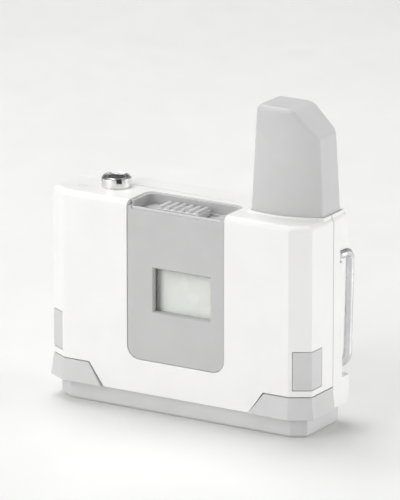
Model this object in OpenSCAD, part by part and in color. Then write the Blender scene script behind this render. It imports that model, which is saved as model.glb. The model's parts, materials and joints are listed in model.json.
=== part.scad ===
// Wireless bodypack transmitter: two-part housing, display, jack socket, stub
// antenna, slide switch, belt clip and a plug-in battery with two latches.
// Front is -Y, up is +Z. The origin is at standing height, under the middle of the
// width and of the whole depth from the shoulders to the belt clip.

/* [Housing] */
// Width across the flat sides
body_w = 64; // [62:0.5:68]
// Depth from the front face to the rear face
body_d = 18; // [18:0.1:19]
// Height of the housing from its lower edge to its top
body_h = 42.2; // [42.2:0.1:45]
// Width of the slanted face at each front corner, seen from the front
facet_x = 4.25; // [4:0.05:4.5]
// Depth of the slanted face at each front corner
facet_y = 2.55; // [2.4:0.05:2.7]
// Flat on each rear corner
rear_chamfer = 0.7; // [0.5:0.1:1]
// Radius along the upper edges
top_round = 1.4; // [1:0.1:1.4]
// Wall thickness of both shells
wall = 1.5; // [1.4:0.05:1.6]
// Distance of the joint between the shells from the front face
seam_depth = 11.5; // [11.5:0.1:11.8]
// Open joint line between neighbouring covers
seam_gap = 0.2; // [0.1:0.05:0.3]

/* [Battery foot] */
// Height of the plinth that stands in a charging bay
plinth_h = 4.5; // [4:0.1:6]
// How far the plinth is set in from the housing
plinth_inset = 1.5; // [1:0.1:2]
// Height of the grey corner shoulders
shoulder_h = 4.9; // [4.5:0.1:5]
// Half width of the chin between the shoulders at its lower edge
chin_low = 18.1; // [17:0.1:19]
// Half width of the chin at the top of the shoulders
chin_high = 21.6; // [20.5:0.1:22.5]
// Outward flare of the shoulders at their lower edge
shoulder_flare = 0.6; // [0:0.1:0.8]

/* [Front panel] */
// Width of the grey panel
panel_w = 24; // [23:0.5:25]
// Height of the panel's lower edge above the housing's lower edge
panel_low = 7.4; // [7:0.1:8]
// Radius of the panel's lower corners
panel_corner = 3; // [2:0.5:4]
// Depth of the switch recess in the top
recess_d = 9.5; // [9:0.1:10]
// How far the panel's upper edge lies below the top
panel_drop = 1.2; // [1:0.1:1.4]
// Left edge of the display opening
window_left = -5.4; // [-6:0.1:-5]
// Width of the display opening
window_w = 13.7; // [13:0.1:14]
// Lower edge of the display opening above the housing's lower edge
window_low = 18.6; // [18:0.1:19]
// Height of the display opening
window_h = 9.4; // [9:0.1:10]

/* [Antenna] */
// Height of the antenna above the top
antenna_h = 23.3; // [20:0.1:26]
// Left edge of the antenna's base
antenna_left = 14.5; // [14:0.1:15]
// Right edge of the antenna's base
antenna_right = 31; // [30.5:0.1:31]
// Size of the slanted cut at the antenna's upper right corner
antenna_cut = 5.9; // [5:0.1:7]

/* [Jack and switch] */
// Sideways place of the jack socket
jack_x = -19.8; // [-20:0.1:-19.5]
// Radius of the jack socket's bore
jack_r = 1.8; // [1.78:0.01:1.85]
// Outer radius of the ring nut
nut_r = 3.2; // [3.1:0.05:3.4]
// Sideways travel of the mute switch
mute_travel = 2; // [1.5:0.1:2]
// Number of ribs on the mute switch
rib_count = 6; // [5:1:7]

/* [Latches and clip] */
// Inward travel of each latch button
latch_travel = 1.2; // [0.8:0.1:1.2]
// Diameter of the belt clip's wire
clip_wire = 1.8; // [1.6:0.1:1.8]
// Distance from the rear face to the outside of the clip
clip_stand = 3; // [3:0.1:4]
// Height of the clip's pivots above the housing's lower edge
clip_pivot_h = 32.6; // [32:0.1:33]
// Height of the clip's cross bar above the housing's lower edge
clip_bar_h = 7.5; // [7.4:0.1:9]

/* [Hidden] */
$fn = 48;

white = [0.95, 0.95, 0.94];
pale_grey = [0.78, 0.78, 0.78];
board_green = [0.16, 0.38, 0.24];
steel = [0.8, 0.81, 0.82];
gold = [0.85, 0.68, 0.3];

// Main planes. The depth from the shoulders' flare to the belt clip is centred on the origin.
front_y = -(body_d + clip_stand - shoulder_flare) / 2;
back_y = front_y + body_d;
seam_y = front_y + seam_depth;
lip_z = plinth_h;
top_z = lip_z + body_h;
half_w = body_w / 2;
eps = 0.01;
big = 200;

// Turning of the outline at each fold, used to inset it evenly
facet_angle = atan2(facet_y, facet_x);
fold_front = tan(facet_angle / 2);
fold_side = tan((90 - facet_angle) / 2);
fold_rear = tan(22.5);

// Layers behind the front face, as distances from it
panel_set = 0.15;
panel_t = 1.5;
flange_y = front_y + 2.3;
gasket_t = 0.3;
lcd_t = 1.2;
backlight_t = 1.2;
board_y = front_y + 5.2;
board_t = 1;
board_back = board_y + board_t;
bay_wall_y = front_y + 8.4;
bay_wall_t = 0.8;
case_front = front_y + 9.5;
case_back = back_y - wall - 0.4;

// Battery and bay
case_half = 22;
case_top = lip_z + 28.1;
case_wall = 0.8;
floor_t = 1.8;
floor_top = lip_z + floor_t;
ceiling_z = lip_z + 28.5;
ceiling_t = 0.8;
pad_pitch = 4.2;
bay_pad_pitch = 6;
bay_pad_half = 1.6;
bay_pad_reach = 3.1;
foot_y = front_y + body_d / 2;
rail_gap = 0.3;
post_in = 26.3;
post_out = 27.9;
post_top = lip_z + 12.5;
tooth_in = 25.8;

// Latch buttons
latch_low = lip_z + 6.3;
latch_high = lip_z + 14.9;
latch_rear = front_y + 6.9;
latch_lip = 0.45;
latch_fit = 0.12;
latch_inner = 26.6;
nose_in = 24.2;
nose_out = tooth_in - 0.15;
nose_z = lip_z + 8.3;
nose_t = 1.7;
spring_y = front_y + 3.7;
spring_z = (latch_low + latch_high) / 2;
spring_seat = 23.4;

// Switch recess
tray_floor = top_z - 2.5;
tray_t = 1;
tray_wall = 0.8;
knob_w = 10.4;
knob_d = 4.8;
knob_x = -mute_travel / 2;
knob_y = front_y + 5.1;
pocket_d = 0.5;
stem_y = front_y + 4.07;
stem_w = 2.2;

// Jack
jack_y = front_y + 8.6;
jack_neck_r = 2.6;
jack_body_top = top_z - wall - 0.3;
jack_body_low = lip_z + 29.7;
jack_bore_low = lip_z + 30.7;
nut_h = 2.3;
nut_slot_w = 1.2;
nut_slot_d = 1.1;

// Antenna: the front of its outline is a long arc
arc_x = 20.3;
arc_y = front_y + 26;
arc_r = 20.36;
antenna_back = front_y + 16.9;
antenna_corner = 1.2;
antenna_wall = 1.3;
tip_round = 1.3;
slab_t = 0.1;
lean_left = 1;
lean_right = 1.2;
lean_front = 0.7;
lean_rear = 0.5;
collar_h = 0.4;
collar_out = 0.6;
antenna_flange_t = 1.25;
flange_z = top_z - wall - 0.05 - antenna_flange_t;

// Light pipe
pipe_x = -26;
pipe_y = front_y + 5.2;
pipe_r = 0.9;

// Screws
screw_x = 27.8;
screw_low = lip_z + 19.5;
screw_high = lip_z + 36.7;
board_screw_at = [[-15, 36], [22, 36], [-22, 17.5], [22, 17.5]];

// Belt clip
wire_r = clip_wire / 2;
clip_x = half_w - wire_r - 0.05;
clip_bend = 1.65;
clip_top_bend = 1.8;
clip_corner = 3;
clip_lean = 2.2;
clip_y = back_y + clip_stand - wire_r;
pivot_y = front_y + 15.6;
pivot_z = lip_z + clip_pivot_h;
bar_z = lip_z + clip_bar_h;
notch_x = clip_x - clip_bend - 0.1;
ledge_z = lip_z + 6;

// Body outline, set in evenly by e
function body_outline(e) =
  let (
    fx = half_w - facet_x - e * fold_front,
    hx = half_w - e,
    sy = front_y + facet_y + e * fold_side,
    by = back_y - e,
    c = max(0.2, rear_chamfer - e * (1 - fold_rear))
  )
  [
    [-fx, front_y + e], [fx, front_y + e], [hx, sy], [hx, by - c],
    [hx - c, by], [c - hx, by], [-hx, by - c], [-hx, sy]
  ];

// Antenna outline at height z, set out evenly by e but no further than right or rear;
// the sides lean in a little
function antenna_outline(z, e, right = big, rear = big) =
  let (
    k = max(0, (z - top_z) / antenna_h),
    xl = antenna_left + lean_left * k - e,
    xr = min(right, antenna_right - lean_right * k + e),
    r = arc_r - lean_front * k + e,
    yb = min(rear, antenna_back - lean_rear * k + e),
    c = antenna_corner,
    steps = 10,
    xs = [for (i = [0:steps]) xl + c + (xr - xl - c) * i / steps],
    arc = [for (x = xs) [x, arc_y - sqrt(r * r - pow(x - arc_x, 2))]]
  )
  concat(
    arc,
    [[xr, yb - c], [xr - 0.3 * c, yb - 0.3 * c], [xr - c, yb]],
    [[xl + c, yb], [xl + 0.3 * c, yb - 0.3 * c], [xl, yb - c]],
    [[xl, arc[0][1] + c], [xl + 0.3 * c, arc[0][1] + 0.3 * c]]
  );

// Box between two opposite corners
module box(low, high) {
  translate(low) cube([high[0] - low[0], high[1] - low[1], high[2] - low[2]]);
}

// Rectangle with round corners, centred on the origin
module round_rect(w, h, r) {
  square([w, h - 2 * r], center = true);
  square([w - 2 * r, h], center = true);
  for (sx = [-1, 1], sy = [-1, 1])
    translate([sx * (w / 2 - r), sy * (h / 2 - r)]) circle(r);
}

// Plate in the front plane: drawn in X and Z, and t thick towards the rear from y
module front_plate(y, t) {
  translate([0, y + t, 0]) rotate([90, 0, 0]) linear_extrude(t) children();
}

module both_sides() {
  children();
  mirror([1, 0, 0]) children();
}

module body_block(e, z0, z1) {
  translate([0, 0, z0]) linear_extrude(z1 - z0) polygon(body_outline(e));
}

// Outer form of the housing with its rounded upper edges
module housing_block() {
  hull() {
    body_block(0, lip_z, top_z - top_round);
    for (a = [22.5, 45, 67.5, 90])
      body_block(top_round * (1 - cos(a)), top_z - 2 * top_round, top_z - top_round * (1 - sin(a)));
  }
}

module housing_cavity() {
  body_block(wall, lip_z - 1, top_z - wall);
}

module front_half() {
  box([-big, -big, -big], [big, seam_y - seam_gap / 2, big]);
}

module rear_half() {
  box([-big, seam_y + seam_gap / 2, -big], [big, big, big]);
}

// Low pad around the antenna's base, kept inside the housing's sides
module antenna_collar() {
  translate([0, 0, top_z - 1]) linear_extrude(1 + collar_h)
    polygon(antenna_outline(0, collar_out, half_w - 0.45));
}

module antenna_opening() {
  translate([0, 0, flange_z + antenna_flange_t - 0.1]) linear_extrude(wall + 2)
    polygon(antenna_outline(0, 0.08));
}

// Opening for the front panel and its recess; e makes it smaller for the panel itself
module panel_face(e) {
  half = panel_w / 2 - e;
  low = lip_z + panel_low + e;
  high = top_z - panel_drop;
  r = panel_corner - e;
  translate([-half, low + r]) square([2 * half, high - low - r]);
  translate([-half + r, low]) square([2 * (half - r), r + eps]);
  for (s = [-1, 1]) translate([s * (half - r), low + r]) circle(r);
}

module recess_plan(e) {
  half = panel_w / 2 - e;
  rear = front_y + recess_d - e;
  r = 2.5 - e;
  translate([-half, front_y + panel_set]) square([2 * half, rear - r - front_y - panel_set]);
  translate([-half + r, rear - r - eps]) square([2 * (half - r), r + eps]);
  for (s = [-1, 1]) translate([s * (half - r), rear - r]) circle(r);
}

// Shoulder area seen from the front, on the right side; e widens it
module shoulder_face(e) {
  polygon([
    [chin_low - e, lip_z - 1],
    [chin_low - e, lip_z],
    [chin_high - e, lip_z + shoulder_h + e],
    [big, lip_z + shoulder_h + e],
    [big, lip_z - 1]
  ]);
}

// Plan of a latch button's window, right side, with room for the button's travel
module latch_window_plan() {
  polygon([
    [26.9, front_y + latch_lip], [big, front_y + latch_lip], [big, latch_rear],
    [25, latch_rear], [25, front_y + 1.8], [26, front_y + 1.8]
  ]);
}

// Round post along Y, from y0 to y1, at x and z
module post(x, z, r, y0, y1) {
  translate([x, y1, z]) rotate([90, 0, 0]) cylinder(r = r, h = y1 - y0);
}

module front_shell() {
  color(white) difference() {
    union() {
      difference() {
        intersection() {
          housing_block();
          front_half();
        }
        housing_cavity();
      }
      intersection() {
        antenna_collar();
        front_half();
      }
      both_sides() {
        for (z = [screw_low, screw_high]) {
          post(screw_x, z, 2.1, front_y + 2.2, seam_y - seam_gap / 2);
          box([screw_x, front_y + 4, z - 0.5], [half_w - 1, seam_y - seam_gap / 2, z + 0.5]);
        }
        box([22.4, front_y + 1, lip_z + 8], [spring_seat, board_y - 0.3, lip_z + 13.2]);
      }
      for (p = board_screw_at) post(p[0], lip_z + p[1], 1.8, front_y + 1, board_y);
    }
    front_plate(front_y - 1, wall + 1.2) panel_face(0);
    box([-panel_w / 2, front_y - 1, top_z - panel_drop - eps], [panel_w / 2, front_y + 2, top_z + 1]);
    translate([0, 0, tray_floor - tray_t - 0.2]) linear_extrude(wall + 4) recess_plan(0);
    both_sides() {
      front_plate(front_y - 1, seam_depth + 1) shoulder_face(seam_gap / 2);
      translate([0, 0, latch_low]) linear_extrude(latch_high - latch_low) latch_window_plan();
      for (z = [screw_low, screw_high]) post(screw_x, z, 0.85, front_y + 5.5, seam_y);
    }
    for (p = board_screw_at) post(p[0], lip_z + p[1], 0.65, front_y + 2.2, board_y + 1);
    antenna_opening();
    translate([jack_x, jack_y, top_z - 4]) cylinder(r = jack_neck_r + 0.1, h = 6);
    translate([pipe_x, pipe_y, top_z - 4]) cylinder(r = pipe_r + 0.05, h = 6);
  }
}

module rear_shell() {
  color(white) difference() {
    union() {
      difference() {
        intersection() {
          housing_block();
          rear_half();
        }
        housing_cavity();
      }
      rear_ledge();
      intersection() {
        antenna_collar();
        rear_half();
      }
      both_sides() {
        for (z = [screw_low, screw_high]) {
          post(screw_x, z, 2.1, seam_y + seam_gap / 2, back_y - 1);
          box([screw_x, seam_y + seam_gap / 2, z - 0.5], [half_w - 1, back_y - 1, z + 0.5]);
        }
        box([26.6, front_y + 13.2, pivot_z - 2.6], [half_w - 1, back_y - 1, pivot_z + 2.6]);
        box([28.2, front_y + 14.2, ledge_z - 1], [half_w - 1, back_y - 1, pivot_z]);
      }
    }
    both_sides() {
      clip_corner_cut();
      for (z = [screw_low, screw_high]) {
        post(screw_x, z, 0.95, seam_y, back_y + 1);
        post(screw_x, z, 1.7, back_y - 1.3, back_y + 3);
      }
      translate([26, pivot_y, pivot_z]) rotate([0, 90, 0]) cylinder(r = wire_r + 0.05, h = 8);
    }
    antenna_opening();
    translate([0, 0, lip_z + 19.5]) front_plate(back_y - 0.35, 2) round_rect(42, 19, 2);
  }
}

// Thicker strip along the rear lower edge, which the clip's cross bar faces
module rear_ledge() {
  hull() {
    ledge_slice(0.3, lip_z, 0.1);
    ledge_slice(1.2, lip_z + 2.6, ledge_z - lip_z - 3.1);
    ledge_slice(0.7, lip_z + 2.6, ledge_z - lip_z - 2.6);
  }
}

module ledge_slice(out, z, h) {
  translate([0, 0, z]) linear_extrude(h) polygon([
    [-half_w, back_y - 1.2], [half_w, back_y - 1.2], [half_w, back_y - 0.8 + out],
    [half_w - 0.8, back_y + out], [-half_w + 0.8, back_y + out], [-half_w, back_y - 0.8 + out]
  ]);
}

// Room for the clip's leg at the rear corner, and for its upper bend to swing
module clip_corner_cut() {
  translate([0, 0, ledge_z]) linear_extrude(pivot_z + 1 - ledge_z) polygon([
    [half_w + 1, front_y + 14.2], [half_w + 1, back_y + 4], [notch_x, back_y + 4],
    [notch_x, back_y], [half_w, front_y + 15.4]
  ]);
  box([notch_x, front_y + 14.3, pivot_z - 1.2], [half_w + 1, back_y + 4, pivot_z + 2.2]);
}

module front_panel() {
  color(pale_grey) difference() {
    union() {
      intersection() {
        front_plate(front_y + panel_set, panel_t) panel_face(0.1);
        panel_edge_block();
      }
      front_plate(front_y + wall + 0.1, flange_y - front_y - wall - 0.1) panel_flange();
      difference() {
        translate([0, 0, tray_floor - tray_t]) linear_extrude(top_z - 0.3 - tray_floor + tray_t)
          recess_plan(0.1);
        translate([0, 0, tray_floor]) linear_extrude(4) offset(delta = -tray_wall) recess_plan(0.1);
        box([-panel_w, -big, top_z - panel_drop], [panel_w, front_y + panel_set + panel_t, top_z]);
        box([-panel_w / 2 + 1, -big, tray_floor], [panel_w / 2 - 1, front_y + 3, top_z]);
      }
      box([-panel_w / 2 + 0.1, front_y + panel_set, tray_floor - eps],
        [panel_w / 2 - 0.1, front_y + panel_set + panel_t - 0.4, top_z - panel_drop - 0.5]);
    }
    window_plate(front_y - 1, 4, 0);
    window_plate(front_y + 1.2, 3, 1);
    window_bevel();
    box([-knob_w / 2 - 1.4, knob_y - knob_d / 2 - 0.3, tray_floor - pocket_d],
      [knob_w / 2 + 1.4, knob_y + knob_d / 2 + 0.3, tray_floor + 0.1]);
    box([-2.5, stem_y - 0.85, tray_floor - 2], [2.5, stem_y + 0.85, tray_floor]);
  }
}

// Slanted front and rear of the panel's upper lip, drawn in Y and Z
module panel_edge_block() {
  high = top_z - panel_drop;
  y0 = front_y + panel_set;
  translate([-panel_w, 0, 0]) rotate([90, 0, 90]) linear_extrude(2 * panel_w) polygon([
    [y0, 0], [y0 + panel_t, 0], [y0 + panel_t, high - 0.6], [y0 + panel_t - 0.4, high - 0.1],
    [y0 + 0.9, high], [y0 + 0.45, high - 0.12], [y0 + 0.12, high - 0.45], [y0, high - 0.9]
  ]);
}

module panel_flange() {
  half = panel_w / 2 + 0.8;
  low = lip_z + panel_low - 0.7;
  translate([-half, low]) square([2 * half, tray_floor - tray_t - 0.2 - low]);
}

// Plate t thick over the display opening, from y to the rear, and e larger all round
module window_plate(y, t, e) {
  front_plate(y, t)
    translate([window_left - e, lip_z + window_low - e]) square([window_w + 2 * e, window_h + 2 * e]);
}

// Sloping edges around the display opening
module window_bevel() {
  cx = window_left + window_w / 2;
  cz = lip_z + window_low + window_h / 2;
  hull() {
    translate([cx, front_y + 0.65, cz]) cube([window_w, 0.01, window_h], center = true);
    translate([cx, front_y - 0.2, cz]) cube([window_w + 1.2, 0.01, window_h + 1.2], center = true);
  }
}

module display_window() {
  color([0.85, 0.88, 0.86, 0.5]) window_plate(front_y + 1.25, 1.0, 0.9);
}

module display_gasket() {
  color([0.15, 0.15, 0.15]) difference() {
    window_plate(flange_y, gasket_t, 1.5);
    window_plate(flange_y - 1, 2, 0.2);
  }
}

module lcd_glass() {
  color([0.75, 0.8, 0.75]) window_plate(flange_y + gasket_t, lcd_t, 2);
}

module lcd_backlight() {
  color([0.93, 0.93, 0.9]) {
    window_plate(flange_y + gasket_t + lcd_t, backlight_t, 2);
    cx = window_left + window_w / 2;
    box([cx - 5, flange_y + gasket_t + lcd_t, lip_z + window_low - 4],
      [cx + 5, flange_y + gasket_t + lcd_t + backlight_t, lip_z + window_low - 2]);
  }
}

module mute_slider() {
  base_low = tray_floor - pocket_d + 0.15;
  base_high = tray_floor + 0.9;
  pitch = (knob_w - 1.4) / (rib_count - 1);
  color(pale_grey) {
    box([knob_x - knob_w / 2, knob_y - knob_d / 2, base_low],
      [knob_x + knob_w / 2, knob_y + knob_d / 2, base_high]);
    for (i = [0:rib_count - 1]) {
      x = knob_x - knob_w / 2 + 0.7 + i * pitch;
      box([x - 0.45, knob_y - knob_d / 2 + 0.25, base_high - eps],
        [x + 0.45, knob_y + knob_d / 2 - 0.25, base_high + 0.25]);
      translate([x, knob_y + knob_d / 2 - 0.25, base_high + 0.25]) rotate([90, 0, 0])
        cylinder(r = 0.45, h = knob_d - 0.5);
    }
    box([knob_x - stem_w / 2, stem_y - 0.65, lip_z + 35.5], [knob_x + stem_w / 2, stem_y + 0.65, base_low]);
  }
}

module mute_switch() {
  color([0.2, 0.2, 0.22]) difference() {
    box([-6, front_y + 2.5, lip_z + 34.1], [6, board_y, lip_z + 37.7]);
    box([-2.6, stem_y - 0.77, lip_z + 35.2], [2.6, stem_y + 0.78, top_z]);
  }
}

module jack_socket() {
  color([0.16, 0.16, 0.17]) difference() {
    union() {
      box([jack_x - 2.8, board_back + 0.05, jack_body_low], [jack_x + 2.8, jack_y + 2.4, jack_body_top]);
      translate([jack_x, jack_y, jack_body_top - 1])
        cylinder(r = jack_neck_r, h = top_z + nut_h - 0.25 - jack_body_top + 1);
    }
    translate([jack_x, jack_y, jack_bore_low]) cylinder(r = jack_r, h = 30);
    for (s = [-1, 1]) translate([jack_x + s * 2.8, jack_y, jack_body_low + 4])
      cube([0.6, 1.8, 8.4], center = true);
  }
}

module jack_ring_nut() {
  color(steel) difference() {
    translate([jack_x, jack_y, top_z]) rotate_extrude() polygon([
      [jack_neck_r + 0.03, 0], [nut_r, 0], [nut_r, nut_h - 0.35], [nut_r - 0.35, nut_h],
      [jack_neck_r + 0.25, nut_h], [jack_neck_r + 0.03, nut_h - 0.22]
    ]);
    for (a = [42, 132]) translate([jack_x, jack_y, top_z + nut_h]) rotate(a)
      cube([2 * nut_r + 1, nut_slot_w, 2 * nut_slot_d], center = true);
  }
}

module jack_contacts() {
  color(gold) for (s = [-1, 1]) {
    x = jack_x + s * 2.7;
    translate([x, jack_y, jack_body_low + 4.4]) cube([0.3, 1.5, 5], center = true);
    translate([x, jack_y - 0.5, jack_body_low + 1.2]) cube([0.3, 0.5, 1.6], center = true);
  }
}

module antenna_slab(z, h, e) {
  translate([0, 0, z]) linear_extrude(h) polygon(antenna_outline(z, e));
}

// Everything past the slanted cut at the upper right corner, moved in by e
module antenna_corner_cut(e) {
  reach = 40;
  translate([antenna_right - 1.1 - antenna_cut - e * sqrt(2), front_y - 5, top_z + antenna_h])
    rotate([0, 45, 0]) translate([0, 0, -eps]) cube([reach, 40, reach]);
}

module antenna_cover() {
  tip = top_z + antenna_h;
  color(pale_grey) difference() {
    union() {
      difference() {
        hull() {
          antenna_slab(top_z, slab_t, 0);
          for (a = [0:30:90])
            antenna_slab(tip - tip_round * (1 - sin(a)) - slab_t, slab_t, -tip_round * (1 - cos(a)));
        }
        antenna_corner_cut(0);
      }
      antenna_slab(top_z - wall - 0.1, wall + 0.15, 0);
      translate([0, 0, flange_z]) linear_extrude(antenna_flange_t)
        polygon(antenna_outline(0, 0.9, half_w - wall - 0.15, back_y - wall - 0.15));
    }
    difference() {
      hull() {
        antenna_slab(flange_z - 1, slab_t, -antenna_wall);
        antenna_slab(tip - 2.2, slab_t, -antenna_wall);
      }
      antenna_corner_cut(1.7);
    }
  }
}

module antenna_board() {
  low = lip_z + 38.1;
  high = top_z + antenna_h - 8;
  color(board_green) box([17, front_y + 11.75, low], [25, front_y + 12.55, high]);
  color(gold) for (i = [0:6]) {
    z = top_z + 1 + i * 2;
    box([17.6, front_y + 11.65, z], [24.4, front_y + 11.75, z + 0.8]);
    side = i % 2 == 0 ? 17.6 : 23.6;
    if (i < 6) box([side, front_y + 11.65, z], [side + 0.8, front_y + 11.75, z + 2.8]);
  }
}

module antenna_contact() {
  color(gold) box([19, front_y + 11.4, lip_z + 38.2], [21, front_y + 11.75, lip_z + 38.8]);
}

module status_light_pipe() {
  color([0.8, 0.9, 0.85, 0.6]) {
    translate([pipe_x, pipe_y, top_z - wall - 1]) cylinder(r = pipe_r, h = wall + 1.05);
    box([pipe_x - 1.2, pipe_y - 1, top_z - wall - 1.5], [pipe_x + 3, pipe_y + 1, top_z - wall - 0.1]);
  }
}

module status_led() {
  color([0.95, 0.95, 0.8])
    box([pipe_x + 1.2, pipe_y - 0.6, lip_z + 37.9], [pipe_x + 2.8, pipe_y + 0.8, lip_z + 39]);
}

// Latch button of the right side; its nose lies inside the post of the battery foot
module latch_button_right() {
  color(pale_grey) difference() {
    union() {
      intersection() {
        translate([0, 0, latch_low + latch_fit])
          linear_extrude(latch_high - latch_low - 2 * latch_fit) polygon([
            [28.3, front_y + latch_lip + latch_fit], [big, front_y + latch_lip + latch_fit],
            [big, latch_rear - latch_fit], [latch_inner, latch_rear - latch_fit],
            [latch_inner, front_y + 2.9], [27.4, front_y + 1.8]
          ]);
        body_block(0, 0, top_z);
      }
      box([nose_in, front_y + 6.6, nose_z], [29, front_y + 8.4, nose_z + nose_t]);
      box([nose_in, front_y + 6.6, nose_z], [nose_out, front_y + 13.6, nose_z + nose_t]);
    }
    translate([latch_inner - 1, spring_y, spring_z]) rotate([0, 90, 0]) cylinder(r = 1.35, h = 2.6);
  }
}

module latch_button_left() {
  mirror([1, 0, 0]) latch_button_right();
}

// Compression spring along X, swept as a tube along a helix
module coil_spring(x0, x1, r, wire, turns) {
  sides = 8;
  steps = turns * 14;
  points = [
    for (i = [0:steps], j = [0:sides - 1])
      let (a = 360 * turns * i / steps, b = 360 * j / sides, rr = r + wire * cos(b))
      [x0 + wire + (x1 - x0 - 2 * wire) * i / steps + wire * sin(b), rr * cos(a), rr * sin(a)]
  ];
  walls = [
    for (i = [0:steps - 1], j = [0:sides - 1])
      let (k = (j + 1) % sides)
      [i * sides + j, i * sides + k, (i + 1) * sides + k, (i + 1) * sides + j]
  ];
  first = [for (j = [sides - 1:-1:0]) j];
  last = [for (j = [0:sides - 1]) steps * sides + j];
  polyhedron(points, concat(walls, [first, last]));
}

module latch_spring_right() {
  color(steel) translate([0, spring_y, spring_z])
    coil_spring(spring_seat, latch_inner + 1.6, 0.95, 0.15, 5);
}

module latch_spring_left() {
  mirror([1, 0, 0]) latch_spring_right();
}

module battery_foot() {
  color(pale_grey) {
    difference() {
      hull() {
        body_block(plinth_inset + 0.6, 0, 0.1);
        body_block(plinth_inset, 0.6, lip_z - 0.1);
      }
      for (i = [-1.5:1.5]) box([i * bay_pad_pitch - bay_pad_half - 0.1, foot_y - bay_pad_reach - 0.1, -1],
        [i * bay_pad_pitch + bay_pad_half + 0.1, foot_y + bay_pad_reach + 0.1, 0.6]);
    }
    body_block(wall + 0.2, lip_z - 0.2, floor_top);
    intersection() {
      hull() {
        body_block(-shoulder_flare, lip_z, lip_z + 0.1);
        body_block(-0.1, lip_z + 2.2, lip_z + 2.3);
        body_block(0, lip_z + shoulder_h - 0.1, lip_z + shoulder_h);
      }
      difference() {
        both_sides() front_plate(front_y - 2, seam_depth + 2 - seam_gap / 2)
          shoulder_face(-seam_gap / 2);
        body_block(wall + 0.4, floor_top - eps, top_z);
      }
    }
    both_sides() {
      box([post_in, front_y + 10, floor_top - 0.5], [post_out, front_y + 13.6, post_top]);
      box([tooth_in, front_y + 10, post_top - 2.1], [post_in + eps, front_y + 13.6, post_top]);
      box([case_half + 0.3, front_y + 10, floor_top - 0.5], [post_in + eps, front_y + 13.6, floor_top + 1.2]);
    }
  }
}

module battery_case() {
  color([0.3, 0.3, 0.32]) difference() {
    box([-case_half, case_front, floor_top], [case_half, case_back, case_top]);
    box([-case_half + case_wall, case_front + case_wall, floor_top - 1],
      [case_half - case_wall, case_back - case_wall, case_top - case_wall]);
    for (i = [-1.5:1.5]) box([i * pad_pitch - 1.2, case_front + 1.4, case_top - 2],
      [i * pad_pitch + 1.2, case_back - 1.4, case_top + 1]);
  }
}

module battery_cell() {
  color([0.75, 0.77, 0.8]) translate([0, (case_front + case_back) / 2, floor_top + 0.2])
    linear_extrude(case_top - floor_top - 3.4)
      round_rect(2 * case_half - 2.6, case_back - case_front - 2.2, 1.6);
}

module battery_protection_board() {
  color(board_green) box([-19, case_front + 1.1, case_top - 2.5], [19, case_back - 1.1, case_top - 1.5]);
  color([0.1, 0.1, 0.1]) for (x = [-15, -11, 11])
    box([x, case_front + 1.8, case_top - 1.5], [x + 3, case_front + 3.8, case_top - 0.9]);
}

module battery_terminals() {
  color(gold) for (i = [-1.5:1.5]) box([i * pad_pitch - 1.1, case_front + 1.5, case_top - 1.5],
    [i * pad_pitch + 1.1, case_back - 1.5, case_top + 0.1]);
}

module charge_contacts() {
  color(gold) for (i = [-1.5:1.5]) box([i * bay_pad_pitch - bay_pad_half, foot_y - bay_pad_reach, 0.3],
    [i * bay_pad_pitch + bay_pad_half, foot_y + bay_pad_reach, 0.6]);
}

module contact_block() {
  color([0.14, 0.14, 0.15]) difference() {
    box([-8.2, front_y + 10.6, ceiling_z + ceiling_t], [8.2, front_y + 15, ceiling_z + ceiling_t + 3.2]);
    for (i = [-1.5:1.5]) translate([i * pad_pitch, front_y + 12.8, ceiling_z])
      cylinder(r = 0.75, h = 2.8);
  }
}

module contact_pins() {
  color(gold) for (i = [-1.5:1.5]) translate([i * pad_pitch, front_y + 12.8, case_top + 0.25]) {
    cylinder(r = 0.45, h = 0.8);
    translate([0, 0, 0.6]) cylinder(r = 0.7, h = 2);
  }
}

module inner_frame() {
  color([0.35, 0.35, 0.37]) difference() {
    union() {
      box([-case_half - 0.3, bay_wall_y, lip_z + 5.5], [case_half + 0.3, bay_wall_y + bay_wall_t, ceiling_z]);
      box([-25, bay_wall_y, ceiling_z], [25, back_y - wall - 0.1, ceiling_z + ceiling_t]);
      both_sides() {
        box([case_half + rail_gap, bay_wall_y, lip_z + 11.8],
          [case_half + rail_gap + 0.8, back_y - wall - 0.1, ceiling_z + eps]);
        post(20, lip_z + 26, 1.2, board_back, bay_wall_y + eps);
      }
      box([-0.6, bay_wall_y, lip_z + 5.5], [0.6, bay_wall_y + bay_wall_t, ceiling_z]);
    }
    for (i = [-1.5:1.5]) translate([i * pad_pitch, front_y + 12.8, ceiling_z - 1])
      cylinder(r = 0.8, h = 4);
  }
}

module main_board() {
  color(board_green) difference() {
    box([-25, board_y, lip_z + 9], [25, board_back, lip_z + 37.9]);
    for (p = board_screw_at) post(p[0], lip_z + p[1], 0.75, board_y - 1, board_back + 1);
  }
}

module board_chips() {
  color([0.12, 0.12, 0.13]) {
    box([9, board_back, lip_z + 15], [15, board_back + 1.1, lip_z + 21]);
    box([10, board_back, lip_z + 24], [13.5, board_back + 0.9, lip_z + 27.5]);
    box([-18.4, board_back, lip_z + 22], [-13.4, board_back + 1, lip_z + 27]);
    box([-20, board_y - 1, lip_z + 20], [-15, board_y, lip_z + 25]);
    box([14, board_y - 1, lip_z + 24], [18, board_y, lip_z + 28]);
    for (i = [0:5]) box([-11 + i * 3, board_back, lip_z + 32], [-9.6 + i * 3, board_back + 0.7, lip_z + 32.8]);
  }
}

module processor_shield() {
  color(steel) difference() {
    box([-12, board_back, lip_z + 13.5], [6, board_back + 1.9, lip_z + 25.5]);
    box([-11.7, board_back - 1, lip_z + 13.8], [5.7, board_back + 1.6, lip_z + 25.2]);
  }
}

module board_connector() {
  color([0.85, 0.83, 0.75])
    box([20.8, board_back, lip_z + 30.7], [24.2, front_y + 10.6, lip_z + 33.9]);
}

module rf_board() {
  color(board_green) box([9.5, front_y + 10.6, lip_z + 30.2], [25, front_y + 11.4, lip_z + 38.9]);
}

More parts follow.
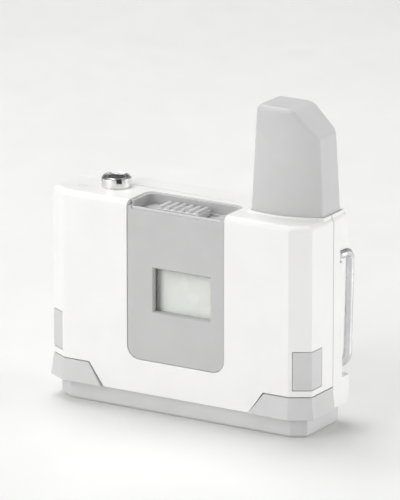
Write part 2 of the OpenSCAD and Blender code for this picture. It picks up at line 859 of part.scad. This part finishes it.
module rf_shield() {
  color(steel) difference() {
    box([10.2, front_y + 8.6, lip_z + 31.2], [19.6, front_y + 10.6, lip_z + 38]);
    box([10.5, front_y + 8.9, lip_z + 31.5], [19.3, front_y + 11, lip_z + 37.7]);
  }
}

// Bend of the clip's wire, in the X-Y plane, from +X round towards +Y
module wire_bend(r, angle) {
  rotate_extrude(angle = angle) translate([r, 0]) circle(wire_r);
}

module wire_run(length) {
  cylinder(r = wire_r, h = length);
}

// Right half of the clip: pivot tip, outward bend, rearward run, downward bend, then the
// leg and the bar, which lean in towards the rear face
module clip_half() {
  leg = pivot_z - clip_top_bend - bar_z;
  run_y = pivot_y + clip_bend;
  tip = clip_x - clip_bend;
  translate([27, pivot_y, pivot_z]) rotate([0, 90, 0]) wire_run(tip - 27);
  translate([tip, run_y, pivot_z]) rotate([0, 0, -90]) wire_bend(clip_bend, 90);
  translate([clip_x, run_y, pivot_z]) rotate([-90, 0, 0]) wire_run(clip_y - clip_top_bend - run_y);
  translate([clip_x, clip_y - clip_top_bend, pivot_z - clip_top_bend]) rotate([-clip_lean, 0, 0]) {
    rotate([90, 0, 90]) wire_bend(clip_top_bend, 90 + clip_lean);
    translate([0, clip_top_bend, 0]) {
      translate([0, 0, -leg + clip_corner]) wire_run(leg - clip_corner);
      translate([-clip_corner, 0, -leg + clip_corner]) rotate([-90, 0, 0]) wire_bend(clip_corner, 90);
      translate([-clip_x, 0, -leg]) rotate([0, 90, 0]) wire_run(clip_x - clip_corner);
    }
  }
}

module belt_clip() {
  color(steel) both_sides() clip_half($fn = 96);
}

module rear_screws() {
  color(steel) both_sides() for (z = [screw_low, screw_high]) difference() {
    union() {
      post(screw_x, z, 0.8, front_y + 6, back_y - 1);
      post(screw_x, z, 1.5, back_y - 1.3, back_y - 0.3);
    }
    for (a = [0, 90]) translate([screw_x, back_y - 0.3, z]) rotate([0, a, 0])
      cube([1.8, 0.9, 0.4], center = true);
  }
}

module board_screws() {
  color(steel) for (p = board_screw_at) difference() {
    union() {
      post(p[0], lip_z + p[1], 0.6, front_y + 2.4, board_back + 0.1);
      post(p[0], lip_z + p[1], 1.3, board_back, board_back + 0.8);
    }
    for (a = [0, 90]) translate([p[0], board_back + 0.8, lip_z + p[1]]) rotate([0, a, 0])
      cube([1.6, 0.8, 0.35], center = true);
  }
}

front_shell();
rear_shell();
front_panel();
display_window();
display_gasket();
lcd_glass();
lcd_backlight();
mute_slider();
mute_switch();
jack_socket();
jack_ring_nut();
jack_contacts();
antenna_cover();
antenna_board();
antenna_contact();
status_light_pipe();
status_led();
latch_button_left();
latch_button_right();
latch_spring_left();
latch_spring_right();
battery_foot();
battery_case();
battery_cell();
battery_protection_board();
battery_terminals();
charge_contacts();
contact_block();
contact_pins();
inner_frame();
main_board();
board_chips();
processor_shield();
board_connector();
rf_board();
rf_shield();
belt_clip();
rear_screws();
board_screws();
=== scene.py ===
"""Visual model of a wireless bodypack transmitter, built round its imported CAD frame.
Everything is in metres, apart from names ending in mm or MM and sections marked as millimetres."""

import json
import math

import bmesh
import bpy
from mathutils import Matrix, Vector

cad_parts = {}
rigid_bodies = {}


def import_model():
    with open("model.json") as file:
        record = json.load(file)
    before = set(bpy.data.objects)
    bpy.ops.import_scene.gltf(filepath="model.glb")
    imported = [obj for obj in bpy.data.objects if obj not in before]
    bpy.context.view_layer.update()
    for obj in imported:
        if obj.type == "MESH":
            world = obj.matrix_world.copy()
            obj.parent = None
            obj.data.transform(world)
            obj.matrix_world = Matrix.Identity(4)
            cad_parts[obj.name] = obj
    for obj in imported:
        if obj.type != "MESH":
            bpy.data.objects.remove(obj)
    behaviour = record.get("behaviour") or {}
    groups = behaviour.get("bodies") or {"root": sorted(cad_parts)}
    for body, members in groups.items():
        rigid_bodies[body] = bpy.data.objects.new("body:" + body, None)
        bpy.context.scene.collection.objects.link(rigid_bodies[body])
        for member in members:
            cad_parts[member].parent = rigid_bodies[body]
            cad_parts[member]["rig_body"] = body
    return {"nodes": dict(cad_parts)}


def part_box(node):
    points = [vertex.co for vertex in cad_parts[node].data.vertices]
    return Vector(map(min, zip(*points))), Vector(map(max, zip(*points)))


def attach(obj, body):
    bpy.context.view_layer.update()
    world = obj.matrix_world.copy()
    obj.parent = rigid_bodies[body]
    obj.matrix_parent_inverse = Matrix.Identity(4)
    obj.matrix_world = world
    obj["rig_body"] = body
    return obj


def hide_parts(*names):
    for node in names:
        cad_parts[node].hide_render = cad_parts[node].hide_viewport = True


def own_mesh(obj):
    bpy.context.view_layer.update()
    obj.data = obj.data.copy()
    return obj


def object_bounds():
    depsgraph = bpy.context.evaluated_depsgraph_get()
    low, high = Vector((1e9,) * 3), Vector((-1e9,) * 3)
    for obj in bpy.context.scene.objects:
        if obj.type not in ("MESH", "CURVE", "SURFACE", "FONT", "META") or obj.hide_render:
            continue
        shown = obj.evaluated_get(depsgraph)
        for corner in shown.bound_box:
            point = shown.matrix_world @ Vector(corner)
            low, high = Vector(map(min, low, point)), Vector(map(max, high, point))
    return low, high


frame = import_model()
cad_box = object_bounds()

MM = 0.001
FOLD_DEG = 28
ROUNDING_SEGMENTS = 3


# ---------------------------------------------------------------- node materials

class Paint:
    """A material being built: its tree, its shader and short ways to add nodes."""

    def __init__(self, name):
        self.material = bpy.data.materials.new(name)
        self.material.use_nodes = True
        self.tree = self.material.node_tree
        self.shader = self.tree.nodes["Principled BSDF"]
        self.place = self.node("ShaderNodeTexCoord").outputs["Object"]

    def node(self, kind, **settings):
        made = self.tree.nodes.new(kind)
        for key, value in settings.items():
            setattr(made, key, value)
        return made

    def link(self, source, target):
        self.tree.links.new(source, target)

    def set(self, **values):
        for key, value in values.items():
            self.shader.inputs[key.replace("_", " ")].default_value = value

    def noise(self, size_mm, detail=2.0, stretch=(1, 1, 1)):
        """Noise whose features are about size_mm across, longer along an axis where stretch is above 1."""
        mapping = self.node("ShaderNodeMapping")
        mapping.inputs["Scale"].default_value = [1 / (size_mm * MM * s) for s in stretch]
        self.link(self.place, mapping.inputs["Vector"])
        texture = self.node("ShaderNodeTexNoise")
        texture.inputs["Scale"].default_value = 1.0
        texture.inputs["Detail"].default_value = detail
        self.link(mapping.outputs["Vector"], texture.inputs["Vector"])
        return texture.outputs["Fac"]

    def span(self, value, low, high, start=0.3, end=0.7):
        """A factor spread over low to high."""
        ranged = self.node("ShaderNodeMapRange")
        for name, number in (("From Min", start), ("From Max", end), ("To Min", low), ("To Max", high)):
            ranged.inputs[name].default_value = number
        self.link(value, ranged.inputs["Value"])
        return ranged.outputs["Result"]

    def colours(self, value, first, second, start=0.35, end=0.65):
        """A colour that goes from first to second as value rises."""
        ramp = self.node("ShaderNodeValToRGB")
        ramp.color_ramp.elements[0].position = start
        ramp.color_ramp.elements[1].position = end
        ramp.color_ramp.elements[0].color = (*first, 1)
        ramp.color_ramp.elements[1].color = (*second, 1)
        self.link(value, ramp.inputs["Fac"])
        return ramp.outputs["Color"]

    def bump(self, value, depth_mm, strength=0.5, below=None):
        bumped = self.node("ShaderNodeBump")
        bumped.inputs["Strength"].default_value = strength
        bumped.inputs["Distance"].default_value = depth_mm * MM
        self.link(value, bumped.inputs["Height"])
        if below is not None:
            self.link(below, bumped.inputs["Normal"])
        return bumped.outputs["Normal"]

    def to(self, output, name):
        self.link(output, self.shader.inputs[name])


def tint(colour, factor):
    return tuple(min(1.0, c * factor) for c in colour)


def moulded_plastic(name, colour, rough=0.45, grain_mm=0.3, grain_depth_mm=0.02, mottle=0.03):
    """Moulded plastic with a fine spark-eroded grain, faint clouding and slightly uneven gloss."""
    paint = Paint(name)
    clouds = paint.noise(9, 3)
    grain = paint.noise(grain_mm, 3)
    paint.to(paint.colours(clouds, tint(colour, 1 - mottle), tint(colour, 1 + mottle)), "Base Color")
    paint.to(paint.span(paint.noise(4, 4), rough - 0.06, rough + 0.06), "Roughness")
    waves = paint.bump(clouds, 0.15, 0.12)
    paint.to(paint.bump(grain, grain_depth_mm, 0.35, waves), "Normal")
    paint.set(IOR=1.47)
    return paint.material


def drawn_metal(name, colour, rough=0.3, along=(1, 1, 1), line_mm=0.08, depth_mm=0.01):
    """Metal with fine lines, longer along an axis where along is above 1, and uneven polish."""
    paint = Paint(name)
    lines = paint.noise(line_mm, 2, along)
    paint.to(paint.colours(paint.noise(3, 3), tint(colour, 0.94), tint(colour, 1.05)), "Base Color")
    paint.to(paint.span(lines, rough - 0.08, rough + 0.1), "Roughness")
    paint.to(paint.bump(lines, depth_mm, 0.3), "Normal")
    paint.set(Metallic=1.0)
    return paint.material


def turned_metal(name, colour, centre, rough=0.25, pitch_mm=0.12):
    """Plated metal with the fine rings of a lathe round a vertical axis through centre."""
    paint = Paint(name)
    moved = paint.node("ShaderNodeVectorMath", operation="SUBTRACT")
    moved.inputs[1].default_value = centre
    paint.link(paint.place, moved.inputs[0])
    rings = paint.node("ShaderNodeTexWave", wave_type="RINGS", rings_direction="Z")
    rings.inputs["Scale"].default_value = 1 / (pitch_mm * MM * 20)
    rings.inputs["Distortion"].default_value = 0.6
    paint.link(moved.outputs["Vector"], rings.inputs["Vector"])
    paint.to(paint.colours(paint.noise(1.5, 3), tint(colour, 0.92), tint(colour, 1.05)), "Base Color")
    paint.to(paint.span(rings.outputs["Fac"], rough - 0.06, rough + 0.08, 0, 1), "Roughness")
    paint.to(paint.bump(rings.outputs["Fac"], 0.008, 0.3), "Normal")
    paint.set(Metallic=1.0)
    return paint.material


def clear_plastic(name, colour, rough=0.04):
    paint = Paint(name)
    paint.to(paint.colours(paint.noise(6, 2), tint(colour, 0.98), colour), "Base Color")
    paint.to(paint.span(paint.noise(2.5, 4), rough, rough + 0.06), "Roughness")
    paint.set(IOR=1.49, Transmission_Weight=1.0)
    return paint.material


def display_cell(name, colour, dot_mm=0.28):
    """Unlit display: pale greenish grey with the faint grid of its dots."""
    paint = Paint(name)
    grid = paint.node("ShaderNodeTexBrick", offset=0.0, squash=1.0)
    turn = paint.node("ShaderNodeMapping")
    turn.inputs["Rotation"].default_value = (math.radians(90), 0, 0)
    paint.link(paint.place, turn.inputs["Vector"])
    paint.link(turn.outputs["Vector"], grid.inputs["Vector"])
    for key, value in (
        ("Scale", 1 / (dot_mm * MM)), ("Brick Width", 1.0), ("Row Height", 1.0), ("Mortar Size", 0.08),
        ("Mortar Smooth", 0.3), ("Color1", (*colour, 1)), ("Color2", (*tint(colour, 0.985), 1)),
        ("Mortar", (*tint(colour, 0.93), 1)),
    ):
        grid.inputs[key].default_value = value
    paint.to(grid.outputs["Color"], "Base Color")
    paint.to(paint.span(paint.noise(3, 2), 0.22, 0.3), "Roughness")
    return paint.material


def circuit_board(name, mask, copper):
    """Solder mask over a grid of tracks."""
    paint = Paint(name)
    tracks = paint.node("ShaderNodeTexBrick", offset=0.35, squash=1.0)
    for key, value in (("Scale", 420.0), ("Mortar Size", 0.06), ("Row Height", 0.35), ("Brick Width", 1.4),
                       ("Color1", (*mask, 1)), ("Color2", (*tint(mask, 0.85), 1)), ("Mortar", (*copper, 1))):
        tracks.inputs[key].default_value = value
    paint.link(paint.place, tracks.inputs["Vector"])
    paint.to(tracks.outputs["Color"], "Base Color")
    paint.to(paint.span(paint.noise(2, 3), 0.3, 0.45), "Roughness")
    paint.to(paint.bump(tracks.outputs["Fac"], 0.03, 0.4), "Normal")
    return paint.material


def foam(name, colour):
    paint = Paint(name)
    cells = paint.node("ShaderNodeTexVoronoi")
    cells.inputs["Scale"].default_value = 4000.0
    paint.link(paint.place, cells.inputs["Vector"])
    # The pits in the middle of each cell are painted darker and the rims lighter: painted shade in the pores
    # and painted highlight on the rims.
    spread = paint.colours(
        cells.outputs["Distance"], tint(colour, 0.6), tint(colour, 1.4), 0.1, 0.8)
    paint.to(spread, "Base Color")
    paint.to(paint.bump(cells.outputs["Distance"], 0.08, 0.8), "Normal")
    paint.set(Roughness=0.95)
    return paint.material


def crinkled_foil(name, colour):
    paint = Paint(name)
    creases = paint.noise(2.2, 5)
    # The foil is painted darker in its crease hollows and lighter on its crests: painted shade and painted
    # highlight.
    paint.to(paint.colours(creases, tint(colour, 0.85), tint(colour, 1.1)), "Base Color")
    paint.to(paint.span(creases, 0.2, 0.45), "Roughness")
    paint.to(paint.bump(creases, 0.15, 0.5), "Normal")
    paint.set(Metallic=0.9)
    return paint.material


def pale_floor(name):
    paint = Paint(name)
    paint.to(paint.colours(paint.noise(60, 3), (0.84, 0.84, 0.835), (0.87, 0.87, 0.865)), "Base Color")
    paint.to(paint.span(paint.noise(8, 4), 0.5, 0.65), "Roughness")
    return paint.material


nut_low, nut_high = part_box("jack_ring_nut")
jack_centre = ((nut_low.x + nut_high.x) / 2, (nut_low.y + nut_high.y) / 2, 0)

WHITE = (0.86, 0.857, 0.848)
GREY = (0.52, 0.52, 0.52)
STEEL = (0.72, 0.72, 0.73)

SLOTS = {
    "shell_white": moulded_plastic("shell_white", WHITE, 0.42, 0.32, 0.012, 0.012),
    "panel_grey": moulded_plastic("panel_grey", GREY, 0.4, 0.25, 0.012, 0.02),
    "antenna_grey": moulded_plastic("antenna_grey", (0.58, 0.58, 0.58), 0.5, 0.4, 0.03, 0.025),
    "button_grey": moulded_plastic("button_grey", (0.62, 0.62, 0.62), 0.5, 0.35, 0.025, 0.025),
    "black_plastic": moulded_plastic("black_plastic", (0.035, 0.035, 0.037), 0.4, 0.3, 0.02, 0.1),
    "connector_cream": moulded_plastic("connector_cream", (0.75, 0.7, 0.58), 0.45, 0.3, 0.02, 0.03),
    "diffuser": moulded_plastic("diffuser", (0.8, 0.8, 0.77), 0.5, 0.5, 0.02, 0.03),
    "clear_window": clear_plastic("clear_window", (0.97, 0.98, 0.975)),
    "display": display_cell("display", (0.7, 0.722, 0.675)),
    # The record calls this slot black; the foam is painted mid grey instead, as painted light that lifts the
    # shade in the deep recess round the display.
    "foam_black": foam("foam_black", (0.55, 0.55, 0.55)),
    "plated_nut": turned_metal("plated_nut", (0.8, 0.8, 0.8), jack_centre),
    "contact_gold": drawn_metal("contact_gold", (0.9, 0.68, 0.33), 0.25, (1, 4, 1)),
    "circuit_board": circuit_board("circuit_board", (0.02, 0.12, 0.05), (0.06, 0.24, 0.1)),
    "spring_steel": drawn_metal("spring_steel", STEEL, 0.34, (6, 6, 6), 0.1),
    "screw_steel": drawn_metal("screw_steel", (0.6, 0.6, 0.61), 0.3, (3, 1, 3)),
    "shield_tin": drawn_metal("shield_tin", (0.75, 0.75, 0.76), 0.32, (8, 1, 1)),
    "cell_foil": crinkled_foil("cell_foil", (0.72, 0.73, 0.75)),
}


# ---------------------------------------------------------------- pieces made from the CAD nodes

def slot_of(node):
    """The record's slot for a node, which is the name of the material that the frame gave it."""
    return frame["nodes"][node].data.materials[0].name.split(".")[0]


def body_of(node):
    return frame["nodes"][node]["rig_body"]


def finished(piece):
    """The piece with its modifiers applied."""
    graph = bpy.context.evaluated_depsgraph_get()
    mesh = bpy.data.meshes.new_from_object(piece.evaluated_get(graph))
    piece.modifiers.clear()
    piece.data = mesh
    return piece


def shade(piece, fold_deg=38):
    """Smooth shading that keeps the flats flat and the sharpest folds sharp."""
    piece.data.shade_smooth()
    piece.data.set_sharp_from_angle(angle=math.radians(fold_deg))
    weighted = piece.modifiers.new("weighted", "WEIGHTED_NORMAL")
    weighted.keep_sharp = True
    return finished(piece)


def add_piece(name, mesh, body, slot, *replaced):
    """A new object from a bmesh, riding on a body with its slot's material, in place of the named nodes."""
    data = bpy.data.meshes.new(name)
    mesh.to_mesh(data)
    mesh.free()
    piece = bpy.data.objects.new(name, data)
    bpy.context.scene.collection.objects.link(piece)
    piece.data.materials.append(SLOTS[slot])
    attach(piece, body)
    if replaced:
        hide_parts(*replaced)
    return piece


def rounded(piece, width_mm):
    """The piece with its folds rounded to width_mm."""
    bevel = piece.modifiers.new("rounding", "BEVEL")
    bevel.width = width_mm * MM
    bevel.segments = ROUNDING_SEGMENTS
    bevel.limit_method = "ANGLE"
    bevel.angle_limit = math.radians(FOLD_DEG)
    bevel.use_clamp_overlap = False
    return shade(finished(piece))


WELD_MM = 0.02
FLAT_DEG = 0.6


def node_mesh(node):
    """A welded copy of a CAD node's mesh, with its flat faces whole again."""
    mesh = bmesh.new()
    mesh.from_mesh(frame["nodes"][node].data)
    bmesh.ops.remove_doubles(mesh, verts=mesh.verts, dist=WELD_MM * MM)
    bmesh.ops.dissolve_limit(
        mesh, angle_limit=math.radians(FLAT_DEG), verts=mesh.verts, edges=mesh.edges)
    return mesh


def refine(node, width_mm):
    """A moulded or machined form of a CAD node: the same shape with its folds rounded."""
    piece = add_piece(node + "_finished", node_mesh(node), body_of(node), slot_of(node), node)
    return rounded(piece, width_mm)


for node, width_mm in (
    ("front_shell", 0.12), ("rear_shell", 0.12), ("front_panel", 0.1), ("battery_foot", 0.15),
    ("latch_button_left", 0.2), ("latch_button_right", 0.2), ("mute_slider", 0.08),
    ("jack_ring_nut", 0.06), ("rear_screws", 0.05), ("charge_contacts", 0.08), ("jack_socket", 0.08),
    ("lcd_glass", 0.08),
):
    refine(node, width_mm)

light_pipe = add_piece(
    "status_light_pipe_finished", node_mesh("status_light_pipe"), "housing", "diffuser",
    "status_light_pipe")
rounded(light_pipe, 0.1)

window = refine("display_window", 0.1)
window.visible_shadow = False

SLIDER_GREY = moulded_plastic("slider_grey", (0.68, 0.68, 0.68), 0.45, 0.25, 0.012, 0.02)
bpy.data.objects["mute_slider_finished"].data.materials[0] = SLIDER_GREY

belt_clip = add_piece(
    "belt_clip_finished", node_mesh("belt_clip"), "clip", "spring_steel", "belt_clip")
shade(belt_clip, 40)


# ---------------------------------------------------------------- latch springs

def latch_spring(node):
    """A latch spring copied from its CAD node, shaded smooth and riding on the housing."""
    mesh = bmesh.new()
    mesh.from_mesh(frame["nodes"][node].data)
    spring = add_piece(node + "_wound", mesh, "housing", "spring_steel", node)
    shade(spring)
    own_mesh(spring)


latch_spring("latch_spring_left")
latch_spring("latch_spring_right")


# ---------------------------------------------------------------- battery case

LABEL_BORDER_MM = 1.8
LABEL_DEPTH_MM = 0.12


def battery_case():
    """The battery's case with a shallow label recess in its two large faces."""
    mesh = node_mesh("battery_case")
    for way in (-1, 1):
        face = max((f for f in mesh.faces if f.normal.y * way > 0.99), key=lambda f: f.calc_area())
        bmesh.ops.inset_region(mesh, faces=[face], thickness=LABEL_BORDER_MM * MM, depth=0)
        bmesh.ops.inset_region(
            mesh, faces=[face], thickness=LABEL_DEPTH_MM * MM, depth=-LABEL_DEPTH_MM * MM)
    piece = add_piece("battery_case_moulded", mesh, "battery", "black_plastic", "battery_case")
    rounded(piece, 0.2)


battery_case()


# ---------------------------------------------------------------- antenna cover, in millimetres

FRONT_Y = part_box("front_shell")[0].y / MM
ANTENNA_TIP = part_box("antenna_cover")[1].z / MM
ANTENNA_H = 23.3
ANTENNA_BASE = ANTENNA_TIP - ANTENNA_H
ANTENNA_LEFT, ANTENNA_RIGHT, ANTENNA_REAR = 14.5, 31.0, FRONT_Y + 16.9
ANTENNA_ARC = (20.3, FRONT_Y + 26)
ANTENNA_ARC_R = 20.36
ANTENNA_CORNER = 1.5
ANTENNA_TIP_ROUND = 1.3
ANTENNA_CUT_X = ANTENNA_RIGHT - 7.0
ANTENNA_FLANGE = 1.2
ANTENNA_RIM_WELD = 0.3
ANTENNA_ROUND_SEGMENTS = 6
LEAN_LEFT, LEAN_RIGHT, LEAN_REAR, LEAN_FRONT = 1.0, 1.2, 0.5, 0.7
SIDE_ROUNDING, TIP_ROUNDING, CUT_ROUNDING = 0.3, 1.0, 0.5


def arc_points(centre, radius, start_deg, end_deg, steps):
    """Points of an arc, in degrees anticlockwise from +X, both ends included."""
    turns = [math.radians(start_deg + (end_deg - start_deg) * i / steps) for i in range(steps + 1)]
    return [(centre[0] + radius * math.cos(a), centre[1] + radius * math.sin(a)) for a in turns]


def antenna_plan(z):
    """Outline at height z: a long arc in front, straight sides that lean in, round corners except
    at the right of the front, where the arc meets the side in a fold."""
    k = max(0.0, (z - ANTENNA_BASE) / ANTENNA_H)
    left = ANTENNA_LEFT + LEAN_LEFT * k
    right = ANTENNA_RIGHT - LEAN_RIGHT * k
    rear = ANTENNA_REAR - LEAN_REAR * k
    reach = ANTENNA_ARC_R - LEAN_FRONT * k
    corner = ANTENNA_CORNER
    start = math.degrees(math.asin((left + corner - ANTENNA_ARC[0]) / (reach - corner)))
    end = math.degrees(math.asin((right - ANTENNA_ARC[0]) / reach))
    corner_y = ANTENNA_ARC[1] - (reach - corner) * math.cos(math.radians(start))
    return (
        arc_points(ANTENNA_ARC, reach, start - 90, end - 90, 24)
        + arc_points((right - corner, rear - corner), corner, 0, 90, 6)
        + arc_points((left + corner, rear - corner), corner, 90, 180, 6)
        + arc_points((left + corner, corner_y), corner, 180, 268 + start, 6)
    )


def loft(mesh, rings):
    """Closed skin through rings of equally many points, given from low to high in millimetres."""
    loops = [[mesh.verts.new([c * MM for c in point]) for point in ring] for ring in rings]
    for lower, upper in zip(loops, loops[1:]):
        for i in range(len(lower)):
            j = (i + 1) % len(lower)
            mesh.faces.new((lower[i], lower[j], upper[j], upper[i]))
    mesh.faces.new(list(reversed(loops[0])))
    mesh.faces.new(loops[-1])


def antenna_cover():
    """The cover with its corner cut off at 45 degrees, rounded most along the tip. The three
    roundings are shares of ANTENNA_TIP_ROUND."""
    mesh = bmesh.new()
    levels = (ANTENNA_BASE - ANTENNA_FLANGE, ANTENNA_BASE, ANTENNA_TIP)
    loft(mesh, [[(x, y, z) for x, y in antenna_plan(z)] for z in levels])
    everything = list(mesh.verts) + list(mesh.edges) + list(mesh.faces)
    cut = bmesh.ops.bisect_plane(
        mesh, geom=everything, plane_co=(ANTENNA_CUT_X * MM, 0, ANTENNA_TIP * MM),
        plane_no=(1, 0, 1), clear_outer=True)
    rim = [part for part in cut["geom_cut"] if isinstance(part, bmesh.types.BMEdge)]
    corners = list({corner for edge in rim for corner in edge.verts})
    bmesh.ops.contextual_create(mesh, geom=rim)
    bmesh.ops.remove_doubles(mesh, verts=corners, dist=ANTENNA_RIM_WELD * MM)
    bmesh.ops.recalc_face_normals(mesh, faces=mesh.faces)
    weight = mesh.edges.layers.float.new("bevel_weight_edge")
    tip = (ANTENNA_TIP - 0.01) * MM
    for edge in mesh.edges:
        if edge.calc_face_angle(0) < math.radians(FOLD_DEG) or edge.verts[0].co.z < 0:
            continue
        on_tip = all(corner.co.z > tip for corner in edge.verts)
        on_side = all(face.normal.z < 0.5 for face in edge.link_faces)
        edge[weight] = SIDE_ROUNDING if on_side else TIP_ROUNDING if on_tip else CUT_ROUNDING
    piece = add_piece("antenna_cover_moulded", mesh, "housing", "antenna_grey", "antenna_cover")
    bevel = piece.modifiers.new("rounding", "BEVEL")
    bevel.width = ANTENNA_TIP_ROUND * MM
    bevel.segments = ANTENNA_ROUND_SEGMENTS
    bevel.limit_method = "WEIGHT"
    bevel.use_clamp_overlap = False
    return shade(finished(piece))


antenna_cover()


# ---------------------------------------------------------------- jack sleeve, in millimetres

def lathe(name, profile, centre, body, slot, steps=64):
    """A ring turned from a closed profile of (radius, height) points, round a centre in metres."""
    mesh = bmesh.new()
    rings = []
    for i in range(steps):
        turn = 2 * math.pi * i / steps
        rings.append([
            mesh.verts.new((
                centre[0] + r * MM * math.cos(turn), centre[1] + r * MM * math.sin(turn), z * MM))
            for r, z in profile])
    for first, second in zip(rings, rings[1:] + rings[:1]):
        for i in range(len(profile)):
            j = (i + 1) % len(profile)
            mesh.faces.new((first[i], second[i], second[j], first[j]))
    bmesh.ops.recalc_face_normals(mesh, faces=mesh.faces)
    return shade(add_piece(name, mesh, body, slot))


SLEEVE_IN, SLEEVE_OUT, SLEEVE_LENGTH = 1.78, 2.2, 9
sleeve_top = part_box("jack_socket")[1].z / MM
sleeve = [
    (SLEEVE_IN, -SLEEVE_LENGTH), (SLEEVE_IN, -0.25), (1.86, -0.02), (1.98, 0.05),
    (2.12, 0.05), (SLEEVE_OUT, -0.05), (SLEEVE_OUT, -SLEEVE_LENGTH),
]
lathe(
    "jack_sleeve", [(r, sleeve_top + z) for r, z in sleeve],
    jack_centre, "housing", "plated_nut")


# ---------------------------------------------------------------- finishes of the carried-over nodes

for name, node in frame["nodes"].items():
    if node.hide_render:
        continue
    node.data.materials[0] = SLOTS[slot_of(name)]


# ---------------------------------------------------------------- floor, light and camera

def stage_floor():
    mesh = bmesh.new()
    bmesh.ops.create_grid(mesh, x_segments=2, y_segments=2, size=3.0)
    data = bpy.data.meshes.new("floor")
    mesh.to_mesh(data)
    mesh.free()
    floor = bpy.data.objects.new("floor", data)
    bpy.context.scene.collection.objects.link(floor)
    floor.data.materials.append(pale_floor("floor"))


def around(azimuth, elevation, distance, target):
    """The point at that distance from target, seen along azimuth from the front and elevation above level."""
    turn, rise = math.radians(azimuth), math.radians(elevation)
    out = Vector((math.sin(turn) * math.cos(rise), -math.cos(turn) * math.cos(rise), math.sin(rise)))
    return Vector(target) + out * distance


def aim(thing, target):
    thing.rotation_euler = (Vector(target) - thing.location).to_track_quat("-Z", "Y").to_euler()


def softbox(name, azimuth, elevation, distance, width, height, power, target):
    lamp = bpy.data.lights.new(name, "AREA")
    lamp.shape = "RECTANGLE"
    lamp.size = width
    lamp.size_y = height
    lamp.energy = power
    holder = bpy.data.objects.new(name, lamp)
    bpy.context.scene.collection.objects.link(holder)
    holder.location = around(azimuth, elevation, distance, target)
    aim(holder, target)


low, high = cad_box
middle = (Vector(low) + Vector(high)) / 2

stage_floor()
softbox("key_left", -30, 26, 0.75, 0.5, 0.7, 3.2, middle)
softbox("key_right", 112, 6, 0.75, 0.5, 0.3, 2.6, middle)
softbox("overhead", -120, 68, 0.8, 0.5, 0.5, 4.1, middle)


def studio_world():
    """White surroundings, brightest at the right of the object and dimmest at its upper left."""
    world = bpy.data.worlds.new("studio")
    world.use_nodes = True
    tree = world.node_tree
    side = tree.nodes.new("ShaderNodeVectorMath")
    side.operation = "DOT_PRODUCT"
    side.inputs[1].default_value = (0.82, -0.3, -0.49)
    strength = tree.nodes.new("ShaderNodeMapRange")
    for key, value in (("From Min", -1), ("From Max", 0.3), ("To Min", 0.17), ("To Max", 0.52)):
        strength.inputs[key].default_value = value
    tree.links.new(tree.nodes.new("ShaderNodeTexCoord").outputs["Generated"], side.inputs[0])
    tree.links.new(side.outputs["Value"], strength.inputs["Value"])
    background = tree.nodes["Background"]
    background.inputs["Color"].default_value = (1, 1, 1, 1)
    tree.links.new(strength.outputs["Result"], background.inputs["Strength"])
    bpy.context.scene.world = world


studio_world()
bpy.context.scene.view_settings.view_transform = "Standard"

VIEW_AZIMUTH = 31.1
VIEW_ELEVATION = 16.3
VIEW_DISTANCE = 1.4
LENS_MM = 475

camera_data = bpy.data.cameras.new("camera")
camera_data.lens = LENS_MM
camera_data.sensor_width = 36
camera_data.clip_end = 20
camera = bpy.data.objects.new("camera", camera_data)
bpy.context.scene.collection.objects.link(camera)
camera.location = around(VIEW_AZIMUTH, VIEW_ELEVATION, VIEW_DISTANCE, middle)
aim(camera, middle)
bpy.context.scene.camera = camera
